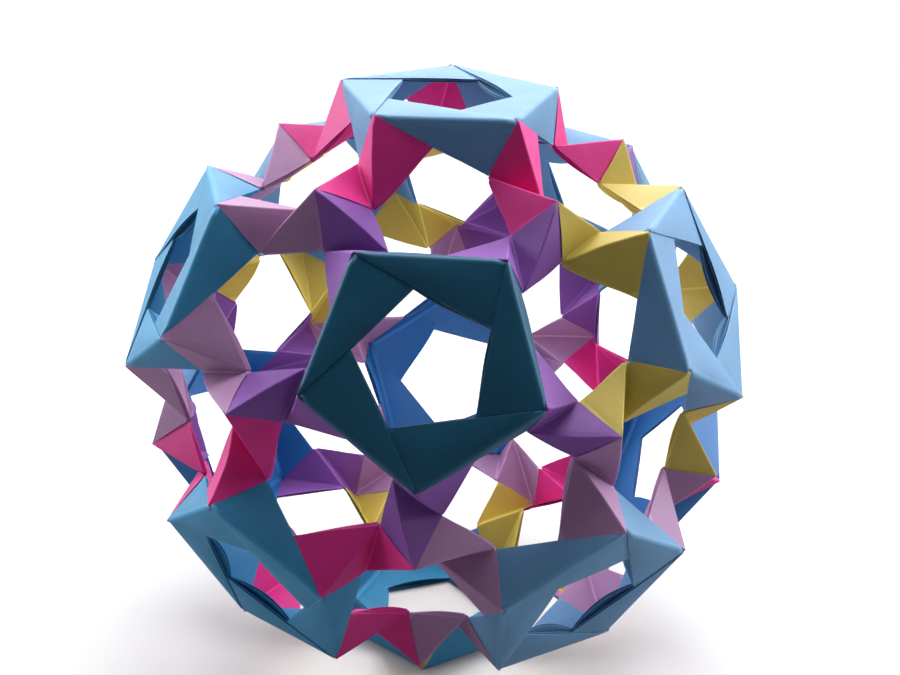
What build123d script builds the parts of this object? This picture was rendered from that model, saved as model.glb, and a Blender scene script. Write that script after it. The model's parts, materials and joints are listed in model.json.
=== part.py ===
from build123d import *
import math
import os

# A modular paper ball: twelve five-sided rings joined by sixty zigzag arms that meet in
# twenty three-armed peaks. Every piece is one square sheet, pleated into a strip of four
# layers and creased across. Nothing is glued: each sheet ends in two tabs, which slide
# between the layers of its neighbours.

# Driving dimensions, in millimetres and degrees
sheet = 75.0          # side of each square sheet before it is folded
layers = 4            # layers that each sheet is pleated into
paper = 0.1           # thickness of one layer
slack = 0.05          # room all round a tab inside its pocket
seam = 0.3            # gap between two sheets that butt at a pocket's mouth
trim = 0.8            # how far a tab's sides and end stay inside the strip
clear = 3.0           # how far a tab stays away from a point where sheets come together
root = 0.6            # how far a tab runs back into the body of its own sheet
short = 2.5           # how much shorter the tabs inside a ring are
ring_turn = 2.2       # turn of a ring's corners about the ring's own axis
wall_slope = 83.8     # slope of a ring's side walls below its flat outer face
rake = 2.0            # how far a pinched corner leans back, per millimetre of depth

# Worked out from the sheet
strip = sheet / layers                    # width of the pleated strip
stack = layers * paper                    # a pressed strip, and so a tab
gap = stack + 2 * slack                   # a pocket that holds one tab
arm_depth = stack + gap                   # an arm, with one tab between its layers
ring_depth = stack + 2 * gap              # a ring sheet, with two tabs between its layers
diagonal = strip * math.sqrt(2)           # a crease across one square of the strip
ring_side = strip * math.sqrt(5)          # a crease across two squares: one side of a ring
ring_step = 72.0                          # between the corners of a ring
peak_step = 120.0                         # between the arms of a peak
ring_tilt = math.degrees(math.atan(2))    # between the axes of two neighbouring rings
peak_tilt = math.degrees(math.acos(math.sqrt((5 + 2 * math.sqrt(5)) / 15)))

tiny = strip / 1e7                        # closer than this, two flat points are one
outward = Vector(0, 0, 1)
RING_AXIS = Axis((0, 0, 0), outward)
peak_line = Vector(math.sin(math.radians(peak_tilt)), 0, math.cos(math.radians(peak_tilt)))
PEAK_AXIS = Axis((0, 0, 0), peak_line)


# The corner points of one arm, on the ring whose axis is +Z and the peak towards +X

def round_ring(thing, steps):
    """The same thing further round the ring, counterclockwise seen from outside."""
    return thing.rotate(RING_AXIS, steps * ring_step)


def round_peak(thing, steps):
    """The same thing further round the peak, clockwise seen from outside."""
    return thing.rotate(PEAK_AXIS, -steps * peak_step)


def trilaterate(a, b, c, from_a, from_b, from_c):
    """The point at three distances from a, b and c, on the side that they turn clockwise about."""
    x_dir = (b - a).normalized()
    along = x_dir.dot(c - a)
    y_dir = (c - a - x_dir * along).normalized()
    across = y_dir.dot(c - a)
    base = (b - a).length
    x = (from_a**2 - from_b**2 + base**2) / (2 * base)
    y = (from_a**2 - from_c**2 + along**2 + across**2 - 2 * along * x) / (2 * across)
    z = math.sqrt(max(from_a**2 - x**2 - y**2, 0.0))
    return a + x_dir * x + y_dir * y - x_dir.cross(y_dir) * z


def arm_points(reach):
    """Ring corner, wall foot, elbow and peak, for a ring face that far from the centre."""
    radius = ring_side / (2 * math.sin(math.radians(ring_step / 2)))
    turn = math.radians(ring_turn)
    corner = Vector(radius * math.cos(turn), radius * math.sin(turn), reach)
    back = (round_ring(corner, -1) - corner).normalized()
    slope = math.radians(wall_slope)
    down = outward.cross(back) * math.cos(slope) - outward * math.sin(slope)
    foot = corner + back * (strip**2 / ring_side) + down * (2 * strip**2 / ring_side)
    height = foot.dot(peak_line)
    off_axis = (foot - peak_line * height).length
    peak = peak_line * (height + math.sqrt(diagonal**2 - off_axis**2))
    elbow = trilaterate(foot, peak, corner, strip, strip, diagonal)
    return corner, foot, elbow, peak


def misfit(reach):
    """How far the arms miss each other round a peak: their strips must be one width across."""
    corner, foot, elbow, peak = arm_points(reach)
    return (foot - round_peak(elbow, -1)).length - strip


def closing_reach():
    """Distance of the ring faces from the centre at which the arms close round their peaks."""
    low = 4.6 * strip
    high = 5.2 * strip
    while high - low > 1e-9 * strip:
        middle = (low + high) / 2
        if misfit(middle) < 0:
            low = middle
        else:
            high = middle
    return (low + high) / 2


reach = closing_reach()
corner, foot, elbow, peak = arm_points(reach)
next_corner = round_ring(corner, 1)
next_foot = round_ring(foot, 1)
before_elbow = round_peak(elbow, -1)


def find_knee():
    """Where the arm's far edge meets the ring wall's lower edge."""
    along = (next_foot - corner).normalized()
    lean = (corner - elbow).dot(along)
    a = lean**2 - strip**2
    b = 2 * strip**2 * lean
    c = 2 * strip**4
    root_term = math.sqrt(b**2 - 4 * a * c)
    distance = max((-b + root_term) / (2 * a), (-b - root_term) / (2 * a))
    return corner + along * distance


knee = find_knee()


# A creased strip: flat facets side by side, and the creases between them

class Facet:
    """One flat patch of a creased strip, with its place in the flat strip and in space."""

    def __init__(self, flat_a, flat_b, space_a, space_b, normal):
        angle = math.atan2(flat_b[1] - flat_a[1], flat_b[0] - flat_a[0])
        ahead = (space_b - space_a).normalized()
        left = normal.cross(ahead)
        self.flat = flat_a
        self.space = space_a
        self.normal = normal
        self.x_dir = ahead * math.cos(angle) - left * math.sin(angle)
        self.y_dir = ahead * math.sin(angle) + left * math.cos(angle)

    def to_space(self, point):
        x = point[0] - self.flat[0]
        y = point[1] - self.flat[1]
        return self.space + self.x_dir * x + self.y_dir * y

    def to_flat(self, place):
        offset = place - self.space
        return (self.flat[0] + offset.dot(self.x_dir), self.flat[1] + offset.dot(self.y_dir))


def normal_of(a, b, c):
    """Outward unit normal of three points that run counterclockwise seen from outside."""
    return (b - a).cross(c - a).normalized()


def side_of(crease, point):
    """Distance of a point to the left of a crease, which runs from its bottom to its top."""
    (ax, ay), (bx, by) = crease
    return ((bx - ax) * (point[1] - ay) - (by - ay) * (point[0] - ax)) / math.dist(*crease)


def clip(outline, crease, keep):
    """The part of an outline on one side of a crease: keep is 1 for left and -1 for right."""
    kept = []
    for here, there in zip(outline, outline[1:] + outline[:1]):
        a = keep * side_of(crease, here)
        b = keep * side_of(crease, there)
        if a > -tiny:
            kept.append(here)
        if min(a, b) < -tiny and max(a, b) > tiny:
            share = a / (a - b)
            kept.append(tuple(h + (t - h) * share for h, t in zip(here, there)))
    return kept


def inward(normals):
    """The move, per millimetre of depth, that stays parallel to every facet at a point."""
    if len(normals) == 1:
        return -normals[0]
    if len(normals) == 2:
        a, b = normals
        return (a + b) * (-1 / (1 + a.dot(b)))
    a, b, c = normals
    return (b.cross(c) + c.cross(a) + a.cross(b)) * (-1 / a.dot(b.cross(c)))


def plate(strip_facets, creases, outline, top, bottom, lean=0.0):
    """The solid between two depths under the part of a creased strip inside an outline.

    Where a crease runs out at a corner, that corner leans back along the crease with depth.
    """
    patches = []
    for index, facet in enumerate(strip_facets):
        patch = outline
        if index > 0:
            patch = clip(patch, creases[index - 1], -1)
        if index < len(creases) and len(patch) > 2:
            patch = clip(patch, creases[index], 1)
        if len(patch) > 2:
            patches.append((facet, patch))

    def has(patch, point):
        return any(math.dist(point, known) < 10 * tiny for known in patch)

    def move(facet, patch, point):
        sharing = [(other, shape) for other, shape in patches if has(shape, point)]
        step = inward([other.normal for other, shape in sharing])
        if len(sharing) == 2:
            shared = [p for p in patch if all(has(shape, p) for other, shape in sharing)]
            far_end = max(shared, key=lambda p: math.dist(p, point))
            step += (facet.to_space(far_end) - facet.to_space(point)).normalized() * lean
        return step

    faces = []
    for facet, patch in patches:
        upper = [facet.to_space(p) + move(facet, patch, p) * top for p in patch]
        lower = [facet.to_space(p) + move(facet, patch, p) * bottom for p in patch]
        faces.append(Face(Wire.make_polygon(upper)))
        faces.append(Face(Wire.make_polygon(lower[::-1])))
        others = [shape for other, shape in patches if other is not facet]
        for i in range(len(patch)):
            j = (i + 1) % len(patch)
            if not any(has(shape, patch[i]) and has(shape, patch[j]) for shape in others):
                faces.append(Face(Wire.make_polygon([upper[i], lower[i], lower[j]])))
                faces.append(Face(Wire.make_polygon([upper[i], lower[j], upper[j]])))
    return Solid(Shell(faces))


ring_plane = outward
wall_plane = normal_of(corner, next_foot, next_corner)
before_wall_plane = round_ring(wall_plane, -1)
shin_plane = normal_of(corner, elbow, knee)
thigh_plane = normal_of(corner, foot, elbow)
front_plane = normal_of(foot, peak, elbow)
back_plane = normal_of(foot, before_elbow, peak)


# An arm: knee, corner and foot at one end, elbow and peak at the other

knee_run = (knee - elbow).length
arm_corner = (-strip, 0.0)
arm_foot = (0.0, 0.0)
arm_before = (strip, 0.0)
arm_knee = (-knee_run, strip)
arm_elbow = (0.0, strip)
arm_peak = (strip, strip)

shin = Facet(arm_corner, arm_elbow, corner, elbow, shin_plane)
thigh = Facet(arm_corner, arm_foot, corner, foot, thigh_plane)
front = Facet(arm_elbow, arm_peak, elbow, peak, front_plane)
back = Facet(arm_before, arm_peak, before_elbow, peak, back_plane)
in_wall = Facet(arm_corner, arm_knee, corner, knee, wall_plane)
ring_ridge = (arm_corner, in_wall.to_flat(next_corner))
in_face = Facet(*ring_ridge, corner, next_corner, ring_plane)
in_front = Facet(arm_before, arm_peak, before_elbow, peak, round_peak(front_plane, -1))
peak_ridge = (in_front.to_flat(round_peak(foot, -1)), arm_peak)
in_back = Facet(*peak_ridge, round_peak(foot, -1), peak, round_peak(back_plane, -1))

arm_facets = [shin, thigh, front, back]
arm_creases = [(arm_corner, arm_elbow), (arm_foot, arm_elbow), (arm_foot, arm_peak)]
arm_body = [
    (arm_corner[0] + seam, seam),
    arm_foot,
    (arm_before[0] - seam, 0.0),
    (arm_peak[0] - seam, arm_peak[1] - seam),
    arm_elbow,
    (arm_knee[0] + seam, strip),
]


def knee_line(y):
    """The slanted line from corner to knee, where an arm slips into its ring."""
    return arm_corner[0] + (arm_knee[0] - arm_corner[0]) * y / strip


def ring_tab(margin, mouth, ridge):
    """A tab that slips into a ring, past its mouth, with one corner on the ring's ridge."""
    low = margin + clear
    high = strip - margin
    end = -2 * strip + margin + short
    return [
        (end, low),
        (mouth(low) + root, low),
        (mouth(high) + root, high),
        (end, ridge[1][1] * (end - ridge[0][0]) / (ridge[1][0] - ridge[0][0])),
    ]


def arm_tab(margin):
    """A tab that slips into an arm, past the far end of its own sheet."""
    low = margin
    high = strip - margin - clear
    end = 2 * strip - margin
    return [(strip - root, low), (end, low), (end, high), (strip - root, high)]


# A ring sheet: a side wall and a flat flap, which meet along a ridge

cover_angle = math.radians(180 - ring_step)
ring_corner = (-strip, 0.0)
ring_next_foot = (strip, 0.0)
ring_next = (strip, strip)


def cover_line(y):
    """The slanted line where a ring sheet slips under the flap of its neighbour."""
    return ring_corner[0] + y / math.tan(cover_angle)


flap = Facet(ring_corner, ring_next, corner, next_corner, ring_plane)
wall = Facet(ring_corner, ring_next, corner, next_corner, wall_plane)
side_ridge = (ring_corner, flap.to_flat(round_ring(corner, -1)))
in_side = Facet(*side_ridge, corner, round_ring(corner, -1), before_wall_plane)
in_thigh = Facet(ring_next_foot, ring_next, next_foot, next_corner, round_ring(thigh_plane, 1))
thigh_ridge = (in_thigh.to_flat(round_ring(elbow, 1)), ring_next)
in_shin = Facet(*thigh_ridge, round_ring(elbow, 1), next_corner, round_ring(shin_plane, 1))

ring_facets = [flap, wall]
ring_creases = [(ring_corner, ring_next)]
ring_body = [
    (ring_corner[0] + seam, seam / 2),
    (ring_next_foot[0] - seam, 0.0),
    (ring_next[0] - seam, ring_next[1] - seam / 2),
    (cover_line(strip) + seam, strip),
]


# Tabs and the pockets that they fill: a pocket is its guest's tab with room all round

def tab(strip_facets, crease, outline, depth, room):
    return plate(strip_facets, [crease], outline, depth - room, depth + stack + room)


def arm_low(room=0.0):
    """An arm's tab in the low pocket of a ring sheet, behind its outer layer."""
    outline = ring_tab(trim - 2 * room, knee_line, ring_ridge)
    return tab([in_face, in_wall], ring_ridge, outline, paper + slack, room)


def arm_far(room=0.0):
    """An arm's tab in the next arm of its peak, behind its outer layer."""
    return tab([in_front, in_back], peak_ridge, arm_tab(trim - 2 * room), paper + slack, room)


def ring_low(room=0.0):
    """A ring sheet's tab in the high pocket of its neighbour, behind the low pocket."""
    outline = ring_tab(trim - 2 * room, cover_line, side_ridge)
    return tab([in_side, flap], side_ridge, outline, 2 * paper + gap + slack, room)


def ring_far(room=0.0):
    """A ring sheet's tab in the middle of an arm, between its second and third layers."""
    outline = arm_tab(trim - 2 * room)
    return tab([in_thigh, in_shin], thigh_ridge, outline, 2 * paper + slack, room)


def arm_template():
    body = plate(arm_facets, arm_creases, arm_body, 0, arm_depth, rake)
    body = body + arm_low() + arm_far()
    return body - round_ring(ring_far(slack), -1) - round_peak(arm_far(slack), 1)


def ring_template():
    body = plate(ring_facets, ring_creases, ring_body, 0, ring_depth, rake)
    body = body + ring_low() + ring_far()
    return body - arm_low(slack) - round_ring(ring_low(slack), 1)


arm_sheet = arm_template()
ring_sheet = ring_template()


# The ball: its upper half ring by ring, then the same turned over for its lower half

def rest_up(solid):
    """Lift a sheet from round the ball's middle to a ball that stands on its bottom ring."""
    return solid.moved(Location((0, 0, reach)))


def place(sheet_solid, axis, toward_peak):
    plane = Plane(origin=(0, 0, 0), x_dir=toward_peak, z_dir=axis)
    return [plane.location * round_ring(sheet_solid, turn) for turn in range(5)]


def save(name, solids):
    export_step(Compound(children=[rest_up(solid) for solid in solids]), f"parts/{name}.step")


up = Vector(0, 0, 1)
top_peak = Vector(1, 0, 0).rotate(Axis.Z, -90 + ring_step / 2)
front_axis = up.rotate(Axis.X, ring_tilt)
front_up = up.rotate(Axis.X, ring_tilt - 90)
front_peak = front_up.rotate(Axis((0, 0, 0), front_axis), ring_step / 2)

turned_over = {
    "top": "bottom",
    "upper_front": "lower_back",
    "upper_right": "lower_right",
    "upper_back_right": "lower_front_right",
    "upper_back_left": "lower_front_left",
    "upper_left": "lower_left",
}

os.makedirs("parts", exist_ok=True)
for kind, sheet_solid in (("ring", ring_sheet), ("arms", arm_sheet)):
    for index, name in enumerate(turned_over):
        if name == "top":
            group = place(sheet_solid, up, top_peak)
        else:
            front = place(sheet_solid, front_axis, front_peak)
            group = [solid.rotate(Axis.Z, (index - 1) * ring_step) for solid in front]
        save(f"{kind}_{name}", group)
        save(f"{kind}_{turned_over[name]}", [solid.rotate(Axis.X, 180) for solid in group])
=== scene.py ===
# %% [markdown]
# # A hollow ball of folded paper
#
# The real ball holds 120 small square sheets. Each one is pleated into a strip of four layers
# and creased a few times across. Sixty of them make twelve open rings, and sixty make the
# zigzag arms between the rings. Nothing is glued: the end of each strip slides between the
# layers of its neighbour.
#
# The CAD model has every sheet as a solid, with its tabs and pockets. This scene keeps those
# places and folds each sheet again as real layers of thin paper, which open a little at their
# free edges and bow slightly between their creases. All lengths are in metres.

import json
import math
import random

import bpy
import numpy as np
from mathutils import Matrix, Vector


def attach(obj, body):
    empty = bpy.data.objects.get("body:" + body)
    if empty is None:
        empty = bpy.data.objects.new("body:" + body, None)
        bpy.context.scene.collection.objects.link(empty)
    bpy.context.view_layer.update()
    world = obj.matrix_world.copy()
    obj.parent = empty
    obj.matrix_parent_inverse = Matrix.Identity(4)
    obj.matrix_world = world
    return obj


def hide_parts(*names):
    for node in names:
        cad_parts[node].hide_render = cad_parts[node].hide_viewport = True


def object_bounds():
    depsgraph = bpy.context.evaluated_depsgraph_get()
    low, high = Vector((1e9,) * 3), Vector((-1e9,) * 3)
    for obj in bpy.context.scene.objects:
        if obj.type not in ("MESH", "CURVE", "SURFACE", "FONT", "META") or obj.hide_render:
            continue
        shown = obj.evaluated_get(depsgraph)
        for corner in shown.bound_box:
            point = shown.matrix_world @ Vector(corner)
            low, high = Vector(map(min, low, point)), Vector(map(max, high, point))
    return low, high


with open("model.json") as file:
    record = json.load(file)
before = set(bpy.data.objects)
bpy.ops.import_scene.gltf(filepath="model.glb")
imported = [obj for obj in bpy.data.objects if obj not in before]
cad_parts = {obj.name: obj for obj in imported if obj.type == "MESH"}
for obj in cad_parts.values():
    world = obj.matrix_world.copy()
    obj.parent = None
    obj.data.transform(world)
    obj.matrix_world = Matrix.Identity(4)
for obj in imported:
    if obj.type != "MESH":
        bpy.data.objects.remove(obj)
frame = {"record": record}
cad_low, cad_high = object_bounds()
print("CAD box", [round(v, 4) for v in (*cad_low, *cad_high)])

# %% [markdown]
# ## Sizes
#
# Everything follows from the sheet. A 75 mm square gives a strip 18.75 mm wide and four squares
# long. A crease runs straight across it, or from corner to corner of one square or two, so every
# length is the strip times a square root. Two angles, in degrees, are the CAD source's: how far
# a ring's corners turn about its axis, and how steeply its side walls slope below its flat face.
# The height of the CAD model gives the distance from the middle of the ball to a ring's face.

# %% Sizes of the sheet and the ball
SHEET = 0.075
STRIP = SHEET / 4
DIAGONAL = STRIP * math.sqrt(2)
RING_SIDE = STRIP * math.sqrt(5)
PAPER = 0.00010
RING_STEP = 72.0
PEAK_STEP = 120.0
RING_TURN = 2.2
WALL_SLOPE = 83.8
RING_TILT = math.degrees(math.atan(2))
PEAK_TILT = math.degrees(math.acos(math.sqrt((5 + 2 * math.sqrt(5)) / 15)))
REACH = (cad_high.z - cad_low.z) / 2
MIDDLE = Vector((0, 0, REACH))
print("strip", STRIP, "ring face from the middle", round(REACH, 5))

# %% [markdown]
# ## Where the creases meet
#
# One ring is worked out with its axis along +Z and one of its peaks towards +X, and the rest of
# the ball is this one ring turned. Six points describe an arm: its corner on the ring, its
# foot, its elbow, its peak, the elbow of the arm before it, and the knee where it slips into the
# ring's wall. They could be measured from the CAD model, but it is safer to find each one
# from distances on the flat strip, because folding never stretches paper.

# %% Turning about a ring and about a peak
OUTWARD = Vector((0, 0, 1))
PEAK_LINE = Vector((math.sin(math.radians(PEAK_TILT)), 0, math.cos(math.radians(PEAK_TILT))))


def round_ring(vector, steps):
    return Matrix.Rotation(math.radians(steps * RING_STEP), 3, OUTWARD) @ vector


def round_peak(vector, steps):
    return Matrix.Rotation(math.radians(-steps * PEAK_STEP), 3, PEAK_LINE) @ vector


print("the peak leans", round(PEAK_TILT, 2), "degrees from the ring's axis")

# %% Corner points of one arm
def trilaterate(a, b, c, from_a, from_b, from_c):
    """The point at three distances from three others, on the side they turn clockwise about."""
    x_dir = (b - a).normalized()
    along = x_dir.dot(c - a)
    y_dir = (c - a - x_dir * along).normalized()
    across = y_dir.dot(c - a)
    base = (b - a).length
    x = (from_a**2 - from_b**2 + base**2) / (2 * base)
    y = (from_a**2 - from_c**2 + along**2 + across**2 - 2 * along * x) / (2 * across)
    z = math.sqrt(max(from_a**2 - x**2 - y**2, 0.0))
    return a + x_dir * x + y_dir * y - x_dir.cross(y_dir) * z


ring_radius = RING_SIDE / (2 * math.sin(math.radians(RING_STEP / 2)))
turn = math.radians(RING_TURN)
slope = math.radians(WALL_SLOPE)
corner = Vector((ring_radius * math.cos(turn), ring_radius * math.sin(turn), REACH))
to_last = (round_ring(corner, -1) - corner).normalized()
down = OUTWARD.cross(to_last) * math.cos(slope) - OUTWARD * math.sin(slope)
foot = corner + to_last * (STRIP**2 / RING_SIDE) + down * (2 * STRIP**2 / RING_SIDE)
foot_height = foot.dot(PEAK_LINE)
foot_radius = (foot - PEAK_LINE * foot_height).length
peak = PEAK_LINE * (foot_height + math.sqrt(DIAGONAL**2 - foot_radius**2))
elbow = trilaterate(foot, peak, corner, STRIP, STRIP, DIAGONAL)
last_elbow = round_peak(elbow, -1)
next_corner = round_ring(corner, 1)
next_foot = round_ring(foot, 1)
print("foot to last elbow", round((foot - last_elbow).length / STRIP, 4), "strips")

# %% Where an arm enters the wall, and where a flap ends over its neighbour
wall_run = (next_foot - corner).normalized()
lean = (corner - elbow).dot(wall_run)
quad_a, quad_b, quad_c = lean**2 - STRIP**2, 2 * STRIP**2 * lean, 2 * STRIP**4
spread = math.sqrt(quad_b**2 - 4 * quad_a * quad_c)
knee_run = max((-quad_b + spread) / (2 * quad_a), (-quad_b - spread) / (2 * quad_a))
knee = corner + wall_run * knee_run

inner_angle = math.radians(180 - RING_STEP)
ridge_angle = math.atan2(STRIP, 2 * STRIP)
flap_run = (next_corner - corner).normalized()
cover_reach = STRIP / math.sin(inner_angle)
cover = corner + Matrix.Rotation(inner_angle - ridge_angle, 3, OUTWARD) @ flap_run * cover_reach
print("knee from the corner", round(knee_run / STRIP, 3), "strips")

# %% [markdown]
# ## The two kinds of sheet
#
# A sheet's facets are triangles between its creases. Each corner has a place in space and one on
# the flat strip, where x runs along it and y across, both counted in strip widths. It lies a
# little deep where it slips under a neighbour's paper, and less so where it only comes near.
#
# An inner layer of paper lies parallel to the outer one, so each corner also has a direction in
# which it moves when the paper goes deeper. Solidify would give every layer the same distance.
# Here the distance changes from place to place, so the direction is worked out once, as the one
# that keeps a corner's distance to every facet that meets there.

# %% The way into the paper
def normal_of(a, b, c):
    return (b - a).cross(c - a).normalized()


def inward(*normals):
    """How a point moves when all the facets that meet there go one unit deeper."""
    if len(normals) == 1:
        return -normals[0]
    if len(normals) == 2:
        a, b = normals
        return (a + b) * (-1 / (1 + a.dot(b)))
    a, b, c = normals
    return (b.cross(c) + c.cross(a) + a.cross(b)) * (-1 / a.dot(b.cross(c)))


class Point:
    """A corner of a facet: its place on the strip, in space, its way in and its own depth."""

    def __init__(self, x, y, place, sink):
        self.flat = Vector((x, y))
        self.place = place
        self.sink = sink
        self.normals = []

    def find_way_in(self):
        self.way_in = inward(*self.normals)


print("a lone facet goes in along", tuple(inward(OUTWARD)))

# %% Facets of an arm sheet and a ring sheet
UNDER = 0.00035
NEAR = 0.00020
knee_x = -(knee - elbow).length / STRIP
cover_x = -1 + math.cos(inner_angle) * cover_reach / STRIP

ARM = {
    "corner": Point(-1, 0, corner, NEAR),
    "foot": Point(0, 0, foot, 0.0),
    "last_elbow": Point(1, 0, last_elbow, UNDER),
    "knee": Point(knee_x, 1, knee, UNDER),
    "elbow": Point(0, 1, elbow, 0.0),
    "peak": Point(1, 1, peak, NEAR),
}
ARM_FACETS = [
    ("corner", "elbow", "knee"),
    ("corner", "foot", "elbow"),
    ("foot", "peak", "elbow"),
    ("foot", "last_elbow", "peak"),
]
RING = {
    "corner": Point(-1, 0, corner, UNDER),
    "foot": Point(1, 0, next_foot, UNDER),
    "next": Point(1, 1, next_corner, 0.0),
    "cover": Point(cover_x, 1, cover, UNDER + NEAR),
}
RING_FACETS = [("corner", "next", "cover"), ("corner", "foot", "next")]

for points, facets in ((ARM, ARM_FACETS), (RING, RING_FACETS)):
    for facet in facets:
        facet_normal = normal_of(*(points[name].place for name in facet))
        for name in facet:
            points[name].normals.append(facet_normal)
    for point in points.values():
        point.find_way_in()
print("arm facets", len(ARM_FACETS), "ring facets", len(RING_FACETS))

# %% [markdown]
# ## How deep each layer lies
#
# The four layers are pressed together, except where a neighbour's tab sits between two of them
# and along the free edges. Folded paper springs open there. An arm opens in its middle at one
# edge of the strip and between its outer pairs at the other, and a ring sheet in its middle at
# both. The mouth of a pocket lifts a little too. Cloth simulation could open them, but paper
# keeps its creases, and a formula is quick and the same each run. A number for each sheet says
# how far, so sheets open differently.

# %% Smooth humps and steps
LAYERS = 4
PRESSED = 0.00013
POCKET = 0.00040
OPENING = 0.0010
LIFT = 0.00022
EDGE_POWER = 3
MOUTH_POWER = 6
CLOSED = {"far": 0.0, "near": 0.0, "flap": 0.0}


def bump(value, low, high):
    """0 outside a stretch, and a smooth hump up to 1 in the middle of it."""
    if not low < value < high:
        return 0.0
    return math.sin(math.pi * (value - low) / (high - low))


def step(value, low, high):
    """0 below a stretch, 1 above it and smooth between."""
    t = min(max((value - low) / (high - low), 0.0), 1.0)
    return t * t * (3 - 2 * t)


print("half way up a step", step(0.5, 0, 1), "and a hump", bump(0.5, 0, 1))

# %% Depth of each layer anywhere on an arm sheet
POCKET_SWAP = 0.25
ARM_FAR_SHARE = (0, 0.6, 0.65, 1.0)
ARM_NEAR_SHARE = (0, 0.05, 1.0, 1.05)


def arm_depth(layer, x, y, ease):
    """Near the ring its pocket is between the middle layers, near the peak between the outer two."""
    far_half = step(x, -POCKET_SWAP, POCKET_SWAP)
    first = PRESSED + (POCKET - PRESSED) * far_half
    middle = POCKET - (POCKET - PRESSED) * far_half
    rest = (0.0, first, first + middle, first + middle + PRESSED)[layer]
    far = bump(x, knee_x, 0) * y**EDGE_POWER * OPENING * ease["far"]
    near = bump(x, 0, 1) * (1 - y) ** EDGE_POWER * OPENING * ease["near"]
    peak_mouth = bump(x, 0, 1) * y**MOUTH_POWER * (LIFT, 0, 0, 0)[layer]
    wall_mouth = bump(x, -1, 0) * (1 - y) ** MOUTH_POWER * (LIFT, LIFT, 0, 0)[layer]
    opened = rest + ARM_FAR_SHARE[layer] * far + ARM_NEAR_SHARE[layer] * near
    return opened - (peak_mouth + wall_mouth)


arm_at_rest = [arm_depth(layer, 1, 1, CLOSED) for layer in range(LAYERS)]
print("layers at a peak lie", [round(1000 * depth, 2) for depth in arm_at_rest], "mm deep")

# %% Depth of each layer anywhere on a ring sheet
FAR_STOP = 0.1
FLAP_START = cover_x + 0.1
FLAP_STOP = 0.97
FLAP_POWER = 1.5
MOUTH_STOP = 0.04
RING_FAR_SHARE = (0, 0.1, 1.0, 1.1)
RING_NEAR_SHARE = (0, 0.05, 0.8, 0.85)


def ring_depth(layer, x, y, ease):
    """Two pockets, one on each side of the pressed middle. The flap can also bow outwards."""
    rest = (0.0, POCKET, POCKET + PRESSED, 2 * POCKET + PRESSED)[layer]
    above_ridge = min(max(y - (x + 1) / 2, 0.0), 1.0)
    far = bump(x, cover_x, FAR_STOP) * y**EDGE_POWER * OPENING * ease["far"]
    near = bump(x, 0, 1) * (1 - y) ** EDGE_POWER * OPENING * ease["near"]
    flap = bump(x, FLAP_START, FLAP_STOP) * above_ridge**FLAP_POWER * ease["flap"]
    mouth = bump(x, -1, MOUTH_STOP) * (1 - y) ** MOUTH_POWER * (LIFT, 0, 0, 0)[layer]
    opened = rest + RING_FAR_SHARE[layer] * far + RING_NEAR_SHARE[layer] * near
    return opened - flap - mouth


ring_at_rest = [ring_depth(layer, 1, 1, CLOSED) for layer in range(LAYERS)]
print("layers at a ring's corner lie", [round(1000 * d, 2) for d in ring_at_rest], "mm deep")

# %% [markdown]
# ## Folding one layer
#
# Each facet is cut into a lattice of small triangles, set back a little from its creases. A
# narrow band with a round back joins the two sides of a crease, because pressed paper turns
# over in a small curve and not at a knife edge. The Bevel modifier rounds every edge alike, also
# where three creases meet, so the bands are made here, as one quadratic curve across each
# crease. Each point also stores how close it is to a fold, for the material.

# %% Points of a layer
BESIDE_FOLD = 0.70
ON_FOLD = 0.85
TOP_OF_FOLD = 1.0


class Layer:
    """One layer while it is folded: points on both of its sides, their marks, and faces."""

    def __init__(self, points, number, depth_of, ease):
        self.points = points
        self.number = number
        self.depth_of = depth_of
        self.ease = ease
        self.outer, self.inner, self.marks = [], [], []
        self.faces, self.bands = [], []

    def add(self, weights, names, bow, mark):
        """Add the point with these weights between the named corners, and give its number."""
        flat = Vector((0, 0))
        place = Vector((0, 0, 0))
        way = Vector((0, 0, 0))
        sink = 0.0
        for weight, name in zip(weights, names):
            flat += self.points[name].flat * weight
            place += self.points[name].place * weight
            way += self.points[name].way_in * weight
            sink += self.points[name].sink * weight
        depth = sink - bow + self.depth_of(self.number, flat.x, flat.y, self.ease)
        self.outer.append(place + way * depth)
        self.inner.append(place + way * (depth + PAPER))
        self.marks.append(mark)
        return len(self.outer) - 1


print("marks beside, on and on top of a fold", BESIDE_FOLD, ON_FOLD, TOP_OF_FOLD)

# %% How far in from its creases a lattice stops
def insets_of(points, facet, creases, fold):
    """How far in from each side of a facet its lattice stops: only creases are set back."""
    flats = [points[name].flat * STRIP for name in facet]
    insets = []
    for i in range(3):
        a, b = flats[(i + 1) % 3], flats[(i + 2) % 3]
        side = (b - a).normalized()
        offset = flats[i] - a
        height = abs(side.x * offset.y - side.y * offset.x)
        shared = frozenset((facet[(i + 1) % 3], facet[(i + 2) % 3])) in creases
        insets.append(fold / height if shared else 0.0)
    return insets


print("a facet without creases is set back by", insets_of(ARM, ARM_FACETS[0], set(), PAPER))

# %% A lattice on each facet
BOW_PEAK = 27


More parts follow.
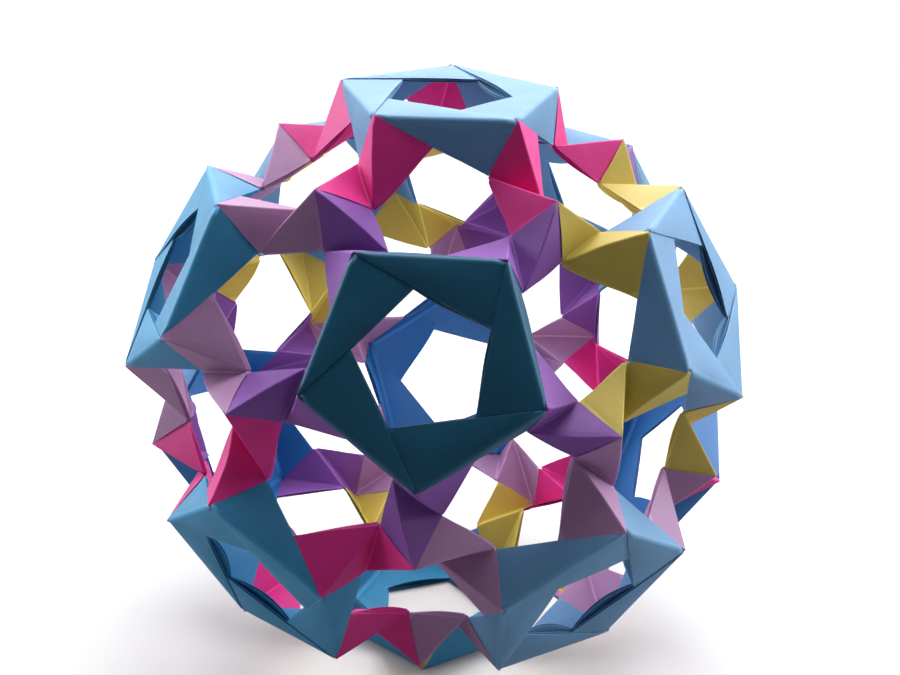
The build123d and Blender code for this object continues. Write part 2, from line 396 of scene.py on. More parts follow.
def add_lattice(layer, facet, insets, cells, bow):
    """Fill a facet with small triangles. Its middle bows out, as a cubic that is 0 at its sides."""
    spare = 1 - sum(insets)
    lattice = {}
    for i in range(cells + 1):
        for j in range(cells + 1 - i):
            k = cells - i - j
            weights = [insets[m] + spare * n / cells for m, n in enumerate((i, j, k))]
            swelling = bow * BOW_PEAK * (i / cells) * (j / cells) * (k / cells)
            at_fold = any(n == 0 and insets[m] > 0 for m, n in enumerate((i, j, k)))
            mark = BESIDE_FOLD if at_fold else 0.0
            lattice[i, j, k] = layer.add(weights, facet, swelling, mark)
    for i in range(cells):
        for j in range(cells - i):
            k = cells - i - j
            ahead, aside = lattice[i + 1, j, k - 1], lattice[i, j + 1, k - 1]
            layer.faces.append((ahead, aside, lattice[i, j, k]))
            if k > 1:
                layer.faces.append((ahead, lattice[i + 1, j + 1, k - 2], aside))
    return lattice


print("three equal weights give", round(BOW_PEAK * (1 / 3) ** 3, 3), "of the whole bow")

# %% The lattice points along each crease
def crease_rows(lattice, facet, creases, cells):
    """The lattice points along each side of a facet that is a crease."""
    rows = {}
    for m in range(3):
        a, b = facet[(m + 1) % 3], facet[(m + 2) % 3]
        if frozenset((a, b)) not in creases:
            continue
        rows[a, b] = []
        for n in range(cells + 1):
            index = [0, 0, 0]
            index[(m + 1) % 3], index[(m + 2) % 3] = cells - n, n
            rows[a, b].append(lattice[tuple(index)])
    return rows


one_cell = {(1, 0, 0): 0, (0, 1, 0): 1, (0, 0, 1): 2}
print("a row of one cell", crease_rows(one_cell, ("a", "b", "c"), {frozenset("bc")}, 1))

# %% A round back on each crease
ARC = 6


def add_band(layer, names, row, back_row, cells):
    """Join both sides of a crease by a narrow band that is round across."""
    lines = [row]
    for k in range(1, ARC):
        t = k / ARC
        mark = TOP_OF_FOLD if k == ARC // 2 else ON_FOLD
        line = []
        for n in range(cells + 1):
            spot = layer.add((1 - n / cells, n / cells), names, 0.0, mark)
            for store in (layer.outer, layer.inner):
                store[spot] = (
                    store[row[n]] * (1 - t) ** 2
                    + store[spot] * (2 * t * (1 - t))
                    + store[back_row[cells - n]] * t**2
                )
            line.append(spot)
        lines.append(line)
    lines.append(back_row[::-1])
    for one, two in zip(lines, lines[1:]):
        for n in range(cells):
            layer.bands.append((one[n + 1], one[n], two[n], two[n + 1]))


print("a fold turns over in", ARC, "steps")

# %% Fold a whole layer
def fold_layer(layer, facets, cells, fold, bows):
    """Fold a layer: first its facets, then the bands over its creases."""
    sides = [frozenset(pair) for facet in facets for pair in zip(facet, facet[1:] + facet[:1])]
    creases = {side for side in sides if sides.count(side) == 2}
    rows = {}
    for facet, bow in zip(facets, bows):
        insets = insets_of(layer.points, facet, creases, fold)
        lattice = add_lattice(layer, facet, insets, cells, bow)
        rows.update(crease_rows(lattice, facet, creases, cells))
    for (a, b), row in rows.items():
        if (b, a) in rows and a < b:
            add_band(layer, (a, b), row, rows[b, a], cells)


trial = Layer(RING, 0, ring_depth, CLOSED)
fold_layer(trial, RING_FACETS, 1, PAPER, (0.0, 0.0))
print("the coarsest ring layer has", len(trial.faces), "facets and", len(trial.bands), "band faces")

# %% [markdown]
# ## From layers to shells
#
# A single surface has no thickness, so its cut edge would vanish from the side, and light would
# treat it as a film. Each layer is therefore closed into a shell as thick as the paper. Its
# faces stay flat, and only the backs of its folds are shaded smooth. The points on its rim are
# marked too, because a cut edge looks paler than the face.

# %% Close a layer into a shell
def add_shell(sheet, layer):
    """Add both sides of a layer and its rim to a sheet."""
    start = len(sheet["points"])
    count = len(layer.outer)
    around = layer.faces + layer.bands
    directed = {(f[i], f[(i + 1) % len(f)]) for f in around for i in range(len(f))}
    rim = sorted((a, b) for a, b in directed if (b, a) not in directed)
    on_rim = {a for a, b in rim} | {b for a, b in rim}
    sheet["points"] += layer.outer + layer.inner
    sheet["fold"] += layer.marks + layer.marks
    sheet["rim"] += [1.0 if i in on_rim else 0.0 for i in range(count)] * 2
    for group, smooth in ((layer.faces, False), (layer.bands, True)):
        for face in group:
            sheet["faces"].append(tuple(start + i for i in face))
            sheet["faces"].append(tuple(start + count + i for i in reversed(face)))
        sheet["smooth"] += [smooth] * (2 * len(group))
    for a, b in rim:
        sheet["faces"].append((start + b, start + a, start + count + a, start + count + b))
    sheet["smooth"] += [False] * len(rim)


def blank_sheet():
    return {"points": [], "faces": [], "smooth": [], "fold": [], "rim": []}


print("a sheet holds", list(blank_sheet()))

# %% [markdown]
# ## Tongues
#
# A strip goes on past its last crease and slides between the layers of its neighbour. That part
# can't be seen, so it needs no folds, but light must not show through the join. Each end gets a
# flat tongue of four corners that runs into the neighbour's pocket. Its sizes say where it
# starts and stops, as shares of the line that it crosses, how far it reaches in at each of the
# two, and how deep it lies.

# %% A tongue between two points
TONGUE = 0.00014
TONGUE_ROOT = 0.0004
INTO_WALL = {"stretch": (0.10, 0.45), "reach": (0.0060, 0.0030), "depth": 0.00034}
INTO_PEAK = {"stretch": (0.25, 0.92), "reach": (0.0025, 0.0070), "depth": 0.00018}
UNDER_FLAP = {"stretch": (0.10, 0.50), "reach": (0.0060, 0.0030), "depth": 0.00072}
INTO_THIGH = {"stretch": (0.25, 0.92), "reach": (0.0025, 0.0070), "depth": 0.00032}


def add_tongue(sheet, start, end, normal, kind):
    """A flat tab across the line from start to end, to its right as seen from outside."""
    ahead = (end - start).normalized()
    away = ahead.cross(normal)
    length = (end - start).length
    near, far = kind["stretch"]
    near_reach, far_reach = kind["reach"]
    flat = [(near, -TONGUE_ROOT), (near, near_reach), (far, far_reach), (far, -TONGUE_ROOT)]
    outline = [start + ahead * (length * along) + away * reach for along, reach in flat]
    first = len(sheet["points"])
    for side_depth in (kind["depth"], kind["depth"] + TONGUE):
        sheet["points"] += [place - normal * side_depth for place in outline]
    for side in ((0, 1, 2, 3), (7, 6, 5, 4)):
        sheet["faces"].append(tuple(first + i for i in side))
    for i in range(4):
        j = (i + 1) % 4
        sheet["faces"].append((first + j, first + i, first + 4 + i, first + 4 + j))
    sheet["smooth"] += [False] * 6
    sheet["fold"] += [0.0] * 8
    sheet["rim"] += [0.0] * 8


print("tongue", round(1000 * TONGUE, 2), "mm thick")

# %% [markdown]
# ## Sheets that differ
#
# Hand-folded sheets are alike but never the same. Sixty separate meshes of each kind would show
# that, at the price of a slow script. A few variants of each kind are enough, because no two
# neighbours in the picture are seen from the same side. A seeded generator draws how far each
# one opens and how much its facets bow. Most ring sheets lie close, and a few gape.

# %% How fine the lattice is, and how much the sheets differ
ARM_CELLS = 8
RING_CELLS = 12
VARIANTS = 7
ARM_FOLD = 0.0007
RING_FOLD = 0.0016
SWELL = (1.0, 0.0, 0.0, -0.7)
ARM_FAR = (0.2, 0.9)
ARM_NEAR = (0.1, 0.8)
ARM_BOW = (0.0, 0.0004)
RING_FAR = (0.2, 0.3, 0.5, 2.2)
RING_NEAR = (0.1, 1.0)
FLAP_LIFT = (0.0002, 0.0004, 0.0007, 0.0013)
FLAP_BOW = (0.0001, 0.0006)
WALL_BOW = (0.0002, 0.0008)
chance = random.Random(7)
print("variants of each sheet", VARIANTS)

# %% Make an arm sheet and a ring sheet
def add_layers(sheet, points, facets, cells, fold, depth_of, ease, bows):
    """The outer layer bows out, the innermost a little in, and the two between stay flat."""
    for number in range(LAYERS):
        layer = Layer(points, number, depth_of, ease)
        fold_layer(layer, facets, cells, fold, [bow * SWELL[number] for bow in bows])
        add_shell(sheet, layer)


def make_arm():
    sheet = blank_sheet()
    ease = {"far": chance.uniform(*ARM_FAR), "near": chance.uniform(*ARM_NEAR)}
    bows = [chance.uniform(*ARM_BOW) for _ in ARM_FACETS]
    add_layers(sheet, ARM, ARM_FACETS, ARM_CELLS, ARM_FOLD, arm_depth, ease, bows)
    wall_normal = normal_of(corner, next_foot, next_corner)
    front_normal = round_peak(normal_of(foot, peak, elbow), -1)
    add_tongue(sheet, knee, corner, wall_normal, INTO_WALL)
    add_tongue(sheet, peak, last_elbow, front_normal, INTO_PEAK)
    return sheet


def make_ring_sheet():
    sheet = blank_sheet()
    ease = {
        "far": chance.choice(RING_FAR),
        "near": chance.uniform(*RING_NEAR),
        "flap": chance.choice(FLAP_LIFT),
    }
    bows = [chance.uniform(*FLAP_BOW), chance.uniform(*WALL_BOW)]
    add_layers(sheet, RING, RING_FACETS, RING_CELLS, RING_FOLD, ring_depth, ease, bows)
    thigh_normal = round_ring(normal_of(corner, foot, elbow), 1)
    add_tongue(sheet, cover, corner, OUTWARD, UNDER_FLAP)
    add_tongue(sheet, next_corner, next_foot, thigh_normal, INTO_THIGH)
    return sheet


print("cells along a facet: arm", ARM_CELLS, "ring", RING_CELLS)

# %% A collection of each kind
def finish_mesh(name, sheet):
    """A mesh object, with the marks for the material as point attributes."""
    mesh = bpy.data.meshes.new(name)
    mesh.from_pydata([tuple(p) for p in sheet["points"]], [], sheet["faces"])
    mesh.polygons.foreach_set("use_smooth", sheet["smooth"])
    for mark in ("fold", "rim"):
        mesh.attributes.new(mark, "FLOAT", "POINT").data.foreach_set("value", sheet[mark])
    mesh.update()
    return bpy.data.objects.new(name, mesh)


def library(name, make):
    """A collection of slightly different sheets, which the geometry nodes draw from."""
    store = bpy.data.collections.new(name + "s")
    for number in range(VARIANTS):
        store.objects.link(finish_mesh(f"{name}_{number}", make()))
    return store


arm_library = library("arm_sheet", make_arm)
ring_library = library("ring_sheet", make_ring_sheet)

# %% [markdown]
# ## Five sheets round a ring
#
# Every ring is the same five sheets turned in steps of 72 degrees, and its arms follow the same
# rule, so Geometry Nodes place them. The tree draws a sheet for each step from a collection,
# turns the finished ring to its place on the ball, and then moves every point by a slow noise.
# The noise is a little wobble of half a millimetre that runs through neighbouring sheets alike, so
# they stay joined but nothing is as exact as a drawing.

# %% A helper for every node in this script
def add_node(tree, kind, inputs=None, **settings):
    """Add a node, set its properties, and link or fill its inputs by name or number."""
    node = tree.nodes.new(kind)
    for name, value in settings.items():
        setattr(node, name, value)
    for spot, value in (inputs or {}).items():
        if isinstance(value, bpy.types.NodeSocket):
            tree.links.new(value, node.inputs[spot])
        else:
            node.inputs[spot].default_value = value
    return node


print("helper", add_node.__name__)

# %% What the tree is given
WOBBLE = 0.0005
SHEETS_ROUND = 5
TREE_INPUTS = {
    "Sheets": ("NodeSocketCollection", None),
    "Paper": ("NodeSocketMaterial", None),
    "Copies": ("NodeSocketInt", SHEETS_ROUND),
    "Step": ("NodeSocketFloat", math.radians(RING_STEP)),
    "Seed": ("NodeSocketInt", 0),
    "Facing": ("NodeSocketVector", None),
    "Tilt": ("NodeSocketVector", None),
    "Spin": ("NodeSocketVector", None),
    "Flip": ("NodeSocketVector", None),
    "Lift": ("NodeSocketVector", None),
    "Wobble": ("NodeSocketFloat", WOBBLE),
}


def start_tree():
    """A tree with one output and the named inputs, some with a value to begin with."""
    tree = bpy.data.node_groups.new("Sheets round a ring", "GeometryNodeTree")
    tree.interface.new_socket("Geometry", in_out="OUTPUT", socket_type="NodeSocketGeometry")
    for name, (kind, value) in TREE_INPUTS.items():
        socket = tree.interface.new_socket(name, in_out="INPUT", socket_type=kind)
        if value is not None:
            socket.default_value = value
    return tree


print("inputs to come", len(TREE_INPUTS))

# %% Sheets round the axis, drawn from a collection
DRAWS = 1000


def sheets_round_axis(tree, given):
    """One point for each step, all on the axis, with a sheet on each, turned and made real."""
    count = {"Count": given["Copies"], "Offset": (0, 0, 0)}
    steps = add_node(tree, "GeometryNodeMeshLine", count)
    one_by_one = {"Collection": given["Sheets"], "Separate Children": True}
    sheets = add_node(tree, "GeometryNodeCollectionInfo", one_by_one)
    index = add_node(tree, "GeometryNodeInputIndex").outputs["Index"]
    product = {0: index, 1: given["Step"]}
    angle = add_node(tree, "ShaderNodeMath", product, operation="MULTIPLY")
    about_axis = add_node(tree, "ShaderNodeCombineXYZ", {"Z": angle.outputs[0]})
    limits = {4: 0, 5: DRAWS, "Seed": given["Seed"]}
    draw = add_node(tree, "FunctionNodeRandomValue", limits, data_type="INT")
    on_points = {
        "Points": steps.outputs["Mesh"],
        "Instance": sheets.outputs["Instances"],
        "Pick Instance": True,
        "Instance Index": draw.outputs[2],
        "Rotation": about_axis.outputs["Vector"],
    }
    place = add_node(tree, "GeometryNodeInstanceOnPoints", on_points)
    return add_node(tree, "GeometryNodeRealizeInstances", {"Geometry": place.outputs["Instances"]})


print("a draw picks one of", DRAWS, "numbers, which wrap round the variants")

# %% Turn the ring to its place and let it wobble
WOBBLE_SCALE = 22.0
WOBBLE_DETAIL = 1.0


def turned_to_place(tree, given, last):
    """Each turn and the lift are a Transform of their own, so their order stays plain."""
    for name in ("Facing", "Tilt", "Spin", "Flip", "Lift"):
        into = "Translation" if name == "Lift" else "Rotation"
        moves = {"Geometry": last.outputs["Geometry"], into: given[name]}
        last = add_node(tree, "GeometryNodeTransform", moves)
    return last


def wobbled(tree, given, last):
    """Move every point by a noise that is centred on nothing."""
    noise_inputs = {"Scale": WOBBLE_SCALE, "Detail": WOBBLE_DETAIL}
    noise = add_node(tree, "ShaderNodeTexNoise", noise_inputs, noise_dimensions="3D")
    centre = {0: noise.outputs["Color"], 1: (0.5, 0.5, 0.5)}
    centred = add_node(tree, "ShaderNodeVectorMath", centre, operation="SUBTRACT")
    scale = {0: centred.outputs["Vector"], "Scale": given["Wobble"]}
    sized = add_node(tree, "ShaderNodeVectorMath", scale, operation="SCALE")
    offset = {"Geometry": last.outputs["Geometry"], "Offset": sized.outputs["Vector"]}
    return add_node(tree, "GeometryNodeSetPosition", offset)


print("wobble", WOBBLE, "m at scale", WOBBLE_SCALE)

# %% The whole tree, with the paper last
def make_tree():
    tree = start_tree()
    given = tree.nodes.new("NodeGroupInput").outputs
    ring = wobbled(tree, given, turned_to_place(tree, given, sheets_round_axis(tree, given)))
    finish = {"Geometry": ring.outputs["Geometry"], "Material": given["Paper"]}
    papered = add_node(tree, "GeometryNodeSetMaterial", finish)
    add_node(tree, "NodeGroupOutput", {"Geometry": papered.outputs["Geometry"]})
    return tree


ring_tree = make_tree()
input_ids = {
    item.name: item.identifier
    for item in ring_tree.interface.items_tree
    if item.in_out == "INPUT"
}
print("tree inputs", list(input_ids))

# %% [markdown]
# ## Paper
#
# Origami paper is matt, dyed through and slightly fibrous. Light glows a little through a single
# layer. The back of a pressed fold is painted paler: partly wear, as a pressed fold loses some dye,
# and partly a painted highlight, the light that its round back would catch. A cut edge loses some
# dye and turns paler too. A picture of paper would repeat and blur, so the colour comes from two
# noises: a slow cloud that varies the dye, and one so fine that it reads as fibre only close up.
# Soft dents from handling and the fibres also bend the light, as bump.

# %% Colours
PAPERS = {
    "sky_paper": (0.160, 0.375, 0.660),
    "teal_paper": (0.010, 0.108, 0.210),
    "turquoise_paper": (0.056, 0.330, 0.605),
    "royal_paper": (0.030, 0.205, 0.565),
    "purple_paper": (0.275, 0.100, 0.440),
    "pink_paper": (0.890, 0.038, 0.330),
    "yellow_paper": (0.720, 0.560, 0.112),
    "mauve_paper": (0.505, 0.270, 0.510),
}
DARK_SHARE = 0.86
# The pale colour stands for wear, and on the backs of folds also for a painted highlight.
WEAR_AND_HIGHLIGHT_GAIN = 1.5
WEAR_AND_HIGHLIGHT_ADDED = 0.03
WEAR_AND_HIGHLIGHT_LIMIT = 0.92


def shades_of(colour):
    """The colour where the dye is thick, where it is full, and a pale one for wear and painted
    highlight.
    """
    dark = (*[c * DARK_SHARE for c in colour], 1)
    pale_wear_and_highlight = (*[min(WEAR_AND_HIGHLIGHT_LIMIT, WEAR_AND_HIGHLIGHT_GAIN * c + WEAR_AND_HIGHLIGHT_ADDED) for c in colour], 1)
    return dark, (*colour, 1), pale_wear_and_highlight


print("papers", list(PAPERS))

# %% Small helpers for the paper's nodes
def noise(tree, place, scale, detail):
    made = add_node(tree, "ShaderNodeTexNoise", {"Vector": place, "Scale": scale, "Detail": detail})
    return made.outputs["Fac"]


def blend(tree, share, under, over):
    return add_node(tree, "ShaderNodeMix", {0: share, 6: under, 7: over}, data_type="RGBA").outputs[2]


def ramp(tree, value, low, high, top):
    """0 up to the low value, and rising to the top share at the high one."""
    limits = {"Value": value, "From Min": low, "From Max": high, "To Max": top}
    return add_node(tree, "ShaderNodeMapRange", limits).outputs["Result"]


def marked(tree, name):
    return add_node(tree, "ShaderNodeAttribute", attribute_name=name).outputs["Fac"]


FIBRE_SCALE, FIBRE_DETAIL = 1500, 3
CLOUD_SCALE, CLOUD_DETAIL = 45, 2
DENT_SCALE, DENT_DETAIL = 75, 1.5
DENTS = {"Strength": 0.30, "Distance": 0.0016}
FIBRES = {"Strength": 0.10, "Distance": 0.0003}
ROUGHNESS = 0.52
SPECULAR = 0.32
SEE_THROUGH = 0.18
CLOUD_RAMP = (0.3, 0.7, 1.0)
FIBRE_RAMP = (0.45, 0.75, 0.12)
# On the backs of folds the pale colour is partly wear and partly a painted highlight.
FOLD_WEAR_AND_HIGHLIGHT_RAMP = (BESIDE_FOLD, 0.95, 0.30)
RIM_RAMP = (0.90, 1.0, 0.40)
print("fibre, cloud and dent scales", FIBRE_SCALE, CLOUD_SCALE, DENT_SCALE)

# %% One paper for every colour
def make_paper(name, colour):
    material = bpy.data.materials.new(name)
    material.use_nodes = True
    tree = material.node_tree
    shader = tree.nodes["Principled BSDF"]
    shader.inputs["Roughness"].default_value = ROUGHNESS
    shader.inputs["Specular IOR Level"].default_value = SPECULAR
    place = tree.nodes.new("ShaderNodeTexCoord").outputs["Object"]
    fibre = noise(tree, place, FIBRE_SCALE, FIBRE_DETAIL)
    cloud = noise(tree, place, CLOUD_SCALE, CLOUD_DETAIL)
    dark, full, pale_wear_and_highlight = shades_of(colour)
    body = blend(tree, ramp(tree, cloud, *CLOUD_RAMP), dark, full)
    body = blend(tree, ramp(tree, fibre, *FIBRE_RAMP), body, pale_wear_and_highlight)
    # Painted highlight and wear: the backs of folds are blended towards the pale colour.
    body = blend(tree, ramp(tree, marked(tree, "fold"), *FOLD_WEAR_AND_HIGHLIGHT_RAMP), body, pale_wear_and_highlight)
    body = blend(tree, ramp(tree, marked(tree, "rim"), *RIM_RAMP), body, pale_wear_and_highlight)
    tree.links.new(body, shader.inputs["Base Color"])
    dent_height = noise(tree, place, DENT_SCALE, DENT_DETAIL)
    dents = add_node(tree, "ShaderNodeBump", {**DENTS, "Height": dent_height})
    fibres = {**FIBRES, "Height": fibre, "Normal": dents.outputs["Normal"]}
    rough = add_node(tree, "ShaderNodeBump", fibres)
    tree.links.new(rough.outputs["Normal"], shader.inputs["Normal"])
    through = add_node(tree, "ShaderNodeBsdfTranslucent", {"Color": body})
    layers = {0: SEE_THROUGH, 1: shader.outputs["BSDF"], 2: through.outputs["BSDF"]}
    both = add_node(tree, "ShaderNodeMixShader", layers)
    tree.links.new(both.outputs["Shader"], tree.nodes["Material Output"].inputs["Surface"])
    return material


papers = {name: make_paper(name, colour) for name, colour in PAPERS.items()}
print("made", len(papers), "papers")

# %% [markdown]
# ## Twelve rings
#
# The rings sit like the faces of a twelve-sided solid. Six make the upper half: one on top, and
# five round it with their axes 63.4 degrees from the vertical. The lower half is the same, turned
# over about the X axis. A number says how many steps round the vertical an upper ring stands.

# %% Names and axes of the rings
UPPER = {
    "top": None,
    "upper_front": 0,
    "upper_right": 1,
    "upper_back_right": 2,
    "upper_back_left": 3,
    "upper_left": 4,
}
TURNED_OVER = {
    "top": "bottom",
    "upper_front": "lower_back",
    "upper_right": "lower_right",
    "upper_back_right": "lower_front_right",
    "upper_back_left": "lower_front_left",
    "upper_left": "lower_left",
}


def ring_axis(name):
    """The outward direction of a ring's axis."""
    over = name in TURNED_OVER.values()
    upper = next(up for up, low in TURNED_OVER.items() if low == name) if over else name
    if UPPER[upper] is None:
        axis = Vector(OUTWARD)
    else:
        axis = Matrix.Rotation(math.radians(RING_TILT), 3, "X") @ OUTWARD
        axis = Matrix.Rotation(math.radians(UPPER[upper] * RING_STEP), 3, "Z") @ axis
    return Matrix.Rotation(math.pi, 3, "X") @ axis if over else axis


ring_names = (*UPPER, *TURNED_OVER.values())
print("rings", len(ring_names))

# %% [markdown]
# ## How each ring settled
#
# A ball that nothing glues gives a little. Each ring has turned by up to a few degrees, or slipped
# by up to two millimetres, from its exact place. A Lattice modifier for each ring could do this,
# but its box would also catch the paper of the rings beside it. Here every ring has a turn about
# its own axis, a swing about the vertical, both in degrees, and a shift. They are full at the
# ring and fade out towards the peaks, where arms from three rings have to stay together.

# %% Turn and shift the paper round each ring
TURN_LIMIT = 1.5
SETTLED = {name: (chance.uniform(-TURN_LIMIT, TURN_LIMIT), 0.0, (0, 0, 0)) for name in ring_names}
SETTLED["top"] = (0.0, 0.0, (0, 0, 0))
SETTLED["upper_right"] = (0.0, 0.0, (0, 0, 0))
SETTLED["upper_front"] = (-2.0, 0.0, (0.0004, 0, -0.0010))
SETTLED["upper_left"] = (0.0, -3.5, (-0.0020, 0, 0))
SETTLED["lower_front_right"] = (-2.5, 0.0, (0, 0, 0))
SETTLED["lower_front_left"] = (0.0, 0.0, (-0.0011, 0, 0.0003))
STILL_BEYOND = 3.3 * STRIP
FADES_OVER = 1.3 * STRIP


def settle(mesh):
    """Move each vertex by what its distance from every ring's axis gives it."""
    places = np.empty(len(mesh.vertices) * 3)
    mesh.vertices.foreach_get("co", places)
    places = places.reshape(-1, 3)
    moved = places.copy()
    for name, (turned, swung, shift) in SETTLED.items():
        axis = np.array(ring_axis(name))
        offset = places - np.array(MIDDLE)
        height = offset @ axis
        away = np.linalg.norm(offset - height[:, None] * axis, axis=1)
        share = np.clip((STILL_BEYOND - away) / FADES_OVER, 0, 1) * (height > 0)
        share = (share * share * (3 - 2 * share))[:, None]
        from_face = offset - axis * REACH
        moved += share * math.radians(turned) * np.cross(axis, from_face)
        moved += share * math.radians(swung) * np.cross((0, 0, 1), from_face)
        moved += share * np.array(shift)
    mesh.vertices.foreach_set("co", moved.ravel())
    mesh.update()


print("turned by", {name: round(value[0], 1) for name, value in SETTLED.items()})

# %% [markdown]
# ## Every ring in its place
#
# The record says which paper each group is folded from. A small host object carries the node
# tree for one group. Its inputs are set by the sockets' identifiers, before the object is first
# evaluated, and the result becomes a plain mesh. The host and its modifier are then removed, the
# mesh settles, and the finished piece rides the ball's one body in place of its CAD node.

# %% The values for one group
slots = {entry["node"]: entry["material_slot"] for entry in frame["record"]["subparts"]}


def tree_values(node, store, step_number, flipped, seed):
    """What the tree is given for one group. The top ring faces the other way and isn't tilted."""
    tilted = step_number is not None
    facing = 90 + RING_STEP / 2 if tilted else RING_STEP / 2 - 90
    return {
        "Sheets": store,
        "Paper": papers[slots[node]],
        "Copies": SHEETS_ROUND,
        "Step": math.radians(RING_STEP),
        "Seed": seed,
        "Facing": (0, 0, math.radians(facing)),
        "Tilt": (math.radians(RING_TILT) if tilted else 0.0, 0, 0),
        "Spin": (0, 0, math.radians(step_number * RING_STEP) if tilted else 0.0),
        "Flip": (math.pi if flipped else 0.0, 0, 0),
        "Lift": tuple(MIDDLE),
        "Wobble": WOBBLE,
    }


print("papers of the nodes", len(slots))

# %% A plain mesh from the tree
def group_mesh(node, values):
    """Run the tree on a host object, and keep only the mesh that it gives."""
    host = bpy.data.objects.new(node + "_host", bpy.data.meshes.new(node + "_host"))
    bpy.context.scene.collection.objects.link(host)
    modifier = host.modifiers.new("Sheets", "NODES")
    modifier.node_group = ring_tree
    for name, value in values.items():
        modifier[input_ids[name]] = value
    bpy.context.view_layer.update()
    evaluated = host.evaluated_get(bpy.context.evaluated_depsgraph_get())
    mesh = bpy.data.meshes.new_from_object(evaluated)
    mesh.name = node + "_paper"
    bpy.data.objects.remove(host)
    return mesh


print("inputs to set on each host", len(input_ids))

# %% Place the rings and their arms
ARM_SEED = 50


def build_group(node, store, step_number, flipped, seed):
    """One ring, or the arms round it, as a plain mesh that stands for its CAD node."""
    mesh = group_mesh(node, tree_values(node, store, step_number, flipped, seed))
    settle(mesh)
    piece = bpy.data.objects.new(node + "_paper", mesh)
    bpy.context.scene.collection.objects.link(piece)
    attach(piece, "root")
    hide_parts(node)
    return piece


pieces = []
for number, (name, step_number) in enumerate(UPPER.items()):
    for flipped in (False, True):
        ring = TURNED_OVER[name] if flipped else name
        seed = 2 * number + flipped
        pieces.append(build_group("ring_" + ring, ring_library, step_number, flipped, seed))
        seed += ARM_SEED
        pieces.append(build_group("arms_" + ring, arm_library, step_number, flipped, seed))
print("pieces", len(pieces), "faces", sum(len(p.data.polygons) for p in pieces))

# %% [markdown]
# ## Floor
#
# A plain pale floor. It is a good deal larger than the ball, so no edge of it comes into any
# view. It throws light back up under the ball, as any pale surface does. For the camera alone its
# colour is nearly white and fades into a white backdrop further out, which keeps a background
# pale without more lamps.

# %% Floor that reaches past every view
FLOOR = 4.0
FLOOR_DROP = 0.0006
floor_corners = [(x * FLOOR, y * FLOOR, 0) for x, y in ((-1, -1), (1, -1), (1, 1), (-1, 1))]
floor_mesh = bpy.data.meshes.new("floor")
floor_mesh.from_pydata(floor_corners, [], [(0, 1, 2, 3)])
floor = bpy.data.objects.new("floor", floor_mesh)
bpy.context.scene.collection.objects.link(floor)
floor.location.z = -FLOOR_DROP
print("floor", 2 * FLOOR, "m across")

# %% Floor paint that fades into the backdrop
FLOOR_FOR_LIGHT = (0.36, 0.36, 0.355, 1)
FLOOR_FOR_CAMERA = (0.80, 0.80, 0.795, 1)
FLOOR_ROUGHNESS = 0.8
FLOOR_SPECULAR = 0.2
FADE_FROM = 0.25
FADE_TO = 0.90
floor_paint = bpy.data.materials.new("pale_floor")
floor_paint.use_nodes = True
floor_tree = floor_paint.node_tree
floor_shader = floor_tree.nodes["Principled BSDF"]
floor_shader.inputs["Roughness"].default_value = FLOOR_ROUGHNESS
floor_shader.inputs["Specular IOR Level"].default_value = FLOOR_SPECULAR
seen = floor_tree.nodes.new("ShaderNodeLightPath").outputs["Is Camera Ray"]
floor_colour = blend(floor_tree, seen, FLOOR_FOR_LIGHT, FLOOR_FOR_CAMERA)
floor_tree.links.new(floor_colour, floor_shader.inputs["Base Color"])
place = floor_tree.nodes.new("ShaderNodeTexCoord").outputs["Object"]
from_ball = add_node(floor_tree, "ShaderNodeVectorMath", {0: place}, operation="LENGTH")
fade_limits = {"Value": from_ball.outputs["Value"], "From Min": FADE_FROM, "From Max": FADE_TO}
fade = add_node(floor_tree, "ShaderNodeMapRange", fade_limits, interpolation_type="SMOOTHSTEP")
for_camera = {0: fade.outputs["Result"], 1: seen}
faded = add_node(floor_tree, "ShaderNodeMath", for_camera, operation="MULTIPLY")
backdrop = floor_tree.nodes.new("ShaderNodeEmission").outputs["Emission"]
surfaces = {0: faded.outputs[0], 1: floor_shader.outputs["BSDF"], 2: backdrop}
surface = add_node(floor_tree, "ShaderNodeMixShader", surfaces).outputs["Shader"]
floor_tree.links.new(surface, floor_tree.nodes["Material Output"].inputs["Surface"])
floor_mesh.materials.append(floor_paint)
print("floor fades from", FADE_FROM, "to", FADE_TO, "m")

# %% [markdown]
# ## Light
#
# The light is soft and comes from behind and above, so the flaps on top are pale and the walls
# that face the camera are in shade. The world does most of this: it is bright on the far side,
# dim on the near side, and smooth between. A lamp could not be as wide, and a picture of a room
# would bring its own colours. To the camera alone the world is plain white.

# %% World
FAR_SIDE = 0.57
NEAR_SIDE = 0.09
NEAR_EDGE = -0.05
FAR_EDGE = 0.30
world = bpy.data.worlds.new("room")
bpy.context.scene.world = world
world.use_nodes = True
world_tree = world.node_tree
room = world_tree.nodes["Background"]
room.inputs["Color"].default_value = (1, 1, 1, 1)
direction = world_tree.nodes.new("ShaderNodeTexCoord").outputs["Generated"]
parts = add_node(world_tree, "ShaderNodeSeparateXYZ", {0: direction})
sides = {
    "Value": parts.outputs["Y"],
    "From Min": NEAR_EDGE,
    "From Max": FAR_EDGE,
    "To Min": NEAR_SIDE,
    "To Max": FAR_SIDE,
}
strength = add_node(world_tree, "ShaderNodeMapRange", sides, interpolation_type="SMOOTHSTEP")
world_seen = world_tree.nodes.new("ShaderNodeLightPath").outputs["Is Camera Ray"]
choice = {"Factor": world_seen, "A": strength.outputs["Result"], "B": 1.0}
plain_white = add_node(world_tree, "ShaderNodeMix", choice)
world_tree.links.new(plain_white.outputs["Result"], room.inputs["Strength"])
print("room", FAR_SIDE, "behind and", NEAR_SIDE, "in front")

# %% [markdown]
# ## Lamps
#
# Large area lamps give soft shadows. One behind and one high up add a clearer direction, and two
# at the sides keep the flanks from going grey. A wide one behind adds only gloss: seen from
# the front, it lies just where the upper faces mirror it, so they turn pale, as matt
# paper does against the light. A very faint lamp inside the ball stands for the light that the
# coloured papers throw at each other.

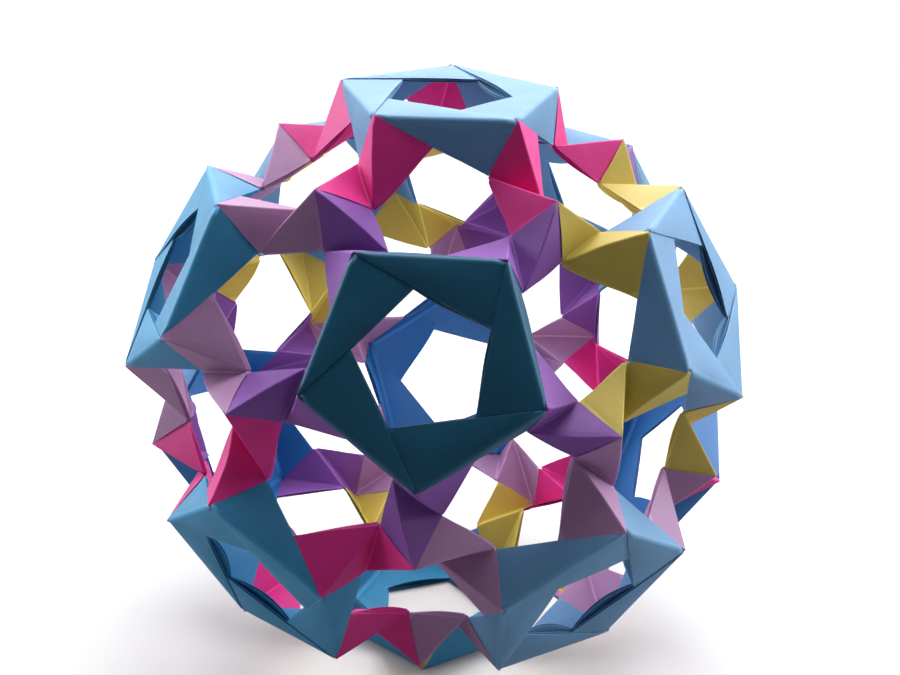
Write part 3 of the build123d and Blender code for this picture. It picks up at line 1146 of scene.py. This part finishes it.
# %% Soft lamps round the ball and a faint one inside
def soft_light(name, place, size, power):
    """A rectangular lamp that faces the middle of the ball: its width and height, and its watts."""
    data = bpy.data.lights.new(name, "AREA")
    data.shape = "RECTANGLE"
    data.size, data.size_y = size
    data.energy = power
    lamp = bpy.data.objects.new(name, data)
    bpy.context.scene.collection.objects.link(lamp)
    lamp.location = place
    lamp.rotation_euler = (MIDDLE - Vector(place)).to_track_quat("-Z", "Y").to_euler()
    return lamp


soft_light("back_light", (0.0, 1.3, 0.9), (2.2, 0.9), 5.0)
gloss_light = soft_light("gloss_light", (0.0, 1.3, 1.0), (4.0, 1.2), 86.0)
gloss_light.visible_diffuse = False
gloss_light.visible_transmission = False
soft_light("high_light", (0.1, 0.5, 1.9), (1.6, 1.0), 34.0)
soft_light("left_light", (-1.3, 0.45, 0.5), (1.0, 1.0), 19.0)
soft_light("right_light", (1.3, 0.45, 0.5), (1.0, 1.0), 19.0)
glow_data = bpy.data.lights.new("inner_glow", "POINT")
glow_data.energy = 0.145
glow_data.color = (1.0, 0.93, 0.88)
glow_data.shadow_soft_size = 0.03
inner_glow = bpy.data.objects.new("inner_glow", glow_data)
inner_glow.location = MIDDLE
inner_glow.visible_camera = False
bpy.context.scene.collection.objects.link(inner_glow)
print("lights", [lamp.name for lamp in bpy.data.lights])

# %% [markdown]
# ## Camera
#
# The camera stands where the photograph was taken: 0.5 m away, a little to the right and about
# 25 degrees above the middle of the ball. It looks a little to one side of the middle, and it is
# held with a slight roll. Angles are in degrees and the lens is in millimetres.

# %% Camera at the photograph's place
CAMERA_DISTANCE = 26.76 * STRIP
CAMERA_AZIMUTH = 3.28
CAMERA_ELEVATION = 24.85
LOOK_AZIMUTH = 2.92
LOOK_DOWN = 23.62
ROLL = 1.87
LENS = 61.4


def heading(azimuth, elevation):
    """From the front: azimuth turns towards +X, elevation rises."""
    a, e = math.radians(azimuth), math.radians(elevation)
    return Vector((math.sin(a) * math.cos(e), -math.cos(a) * math.cos(e), math.sin(e)))


camera_data = bpy.data.cameras.new("camera")
camera_data.sensor_width = 36.0
camera_data.lens = LENS
camera_data.clip_start = 0.01
camera = bpy.data.objects.new("camera", camera_data)
bpy.context.scene.collection.objects.link(camera)
camera.location = MIDDLE + heading(CAMERA_AZIMUTH, CAMERA_ELEVATION) * CAMERA_DISTANCE
aim = (-heading(LOOK_AZIMUTH, LOOK_DOWN)).to_track_quat("-Z", "Y").to_matrix()
camera.rotation_euler = (aim @ Matrix.Rotation(math.radians(ROLL), 3, "Z")).to_euler()
bpy.context.scene.camera = camera
bpy.context.scene.view_settings.view_transform = "Standard"
print("camera", [round(v, 3) for v in camera.location])
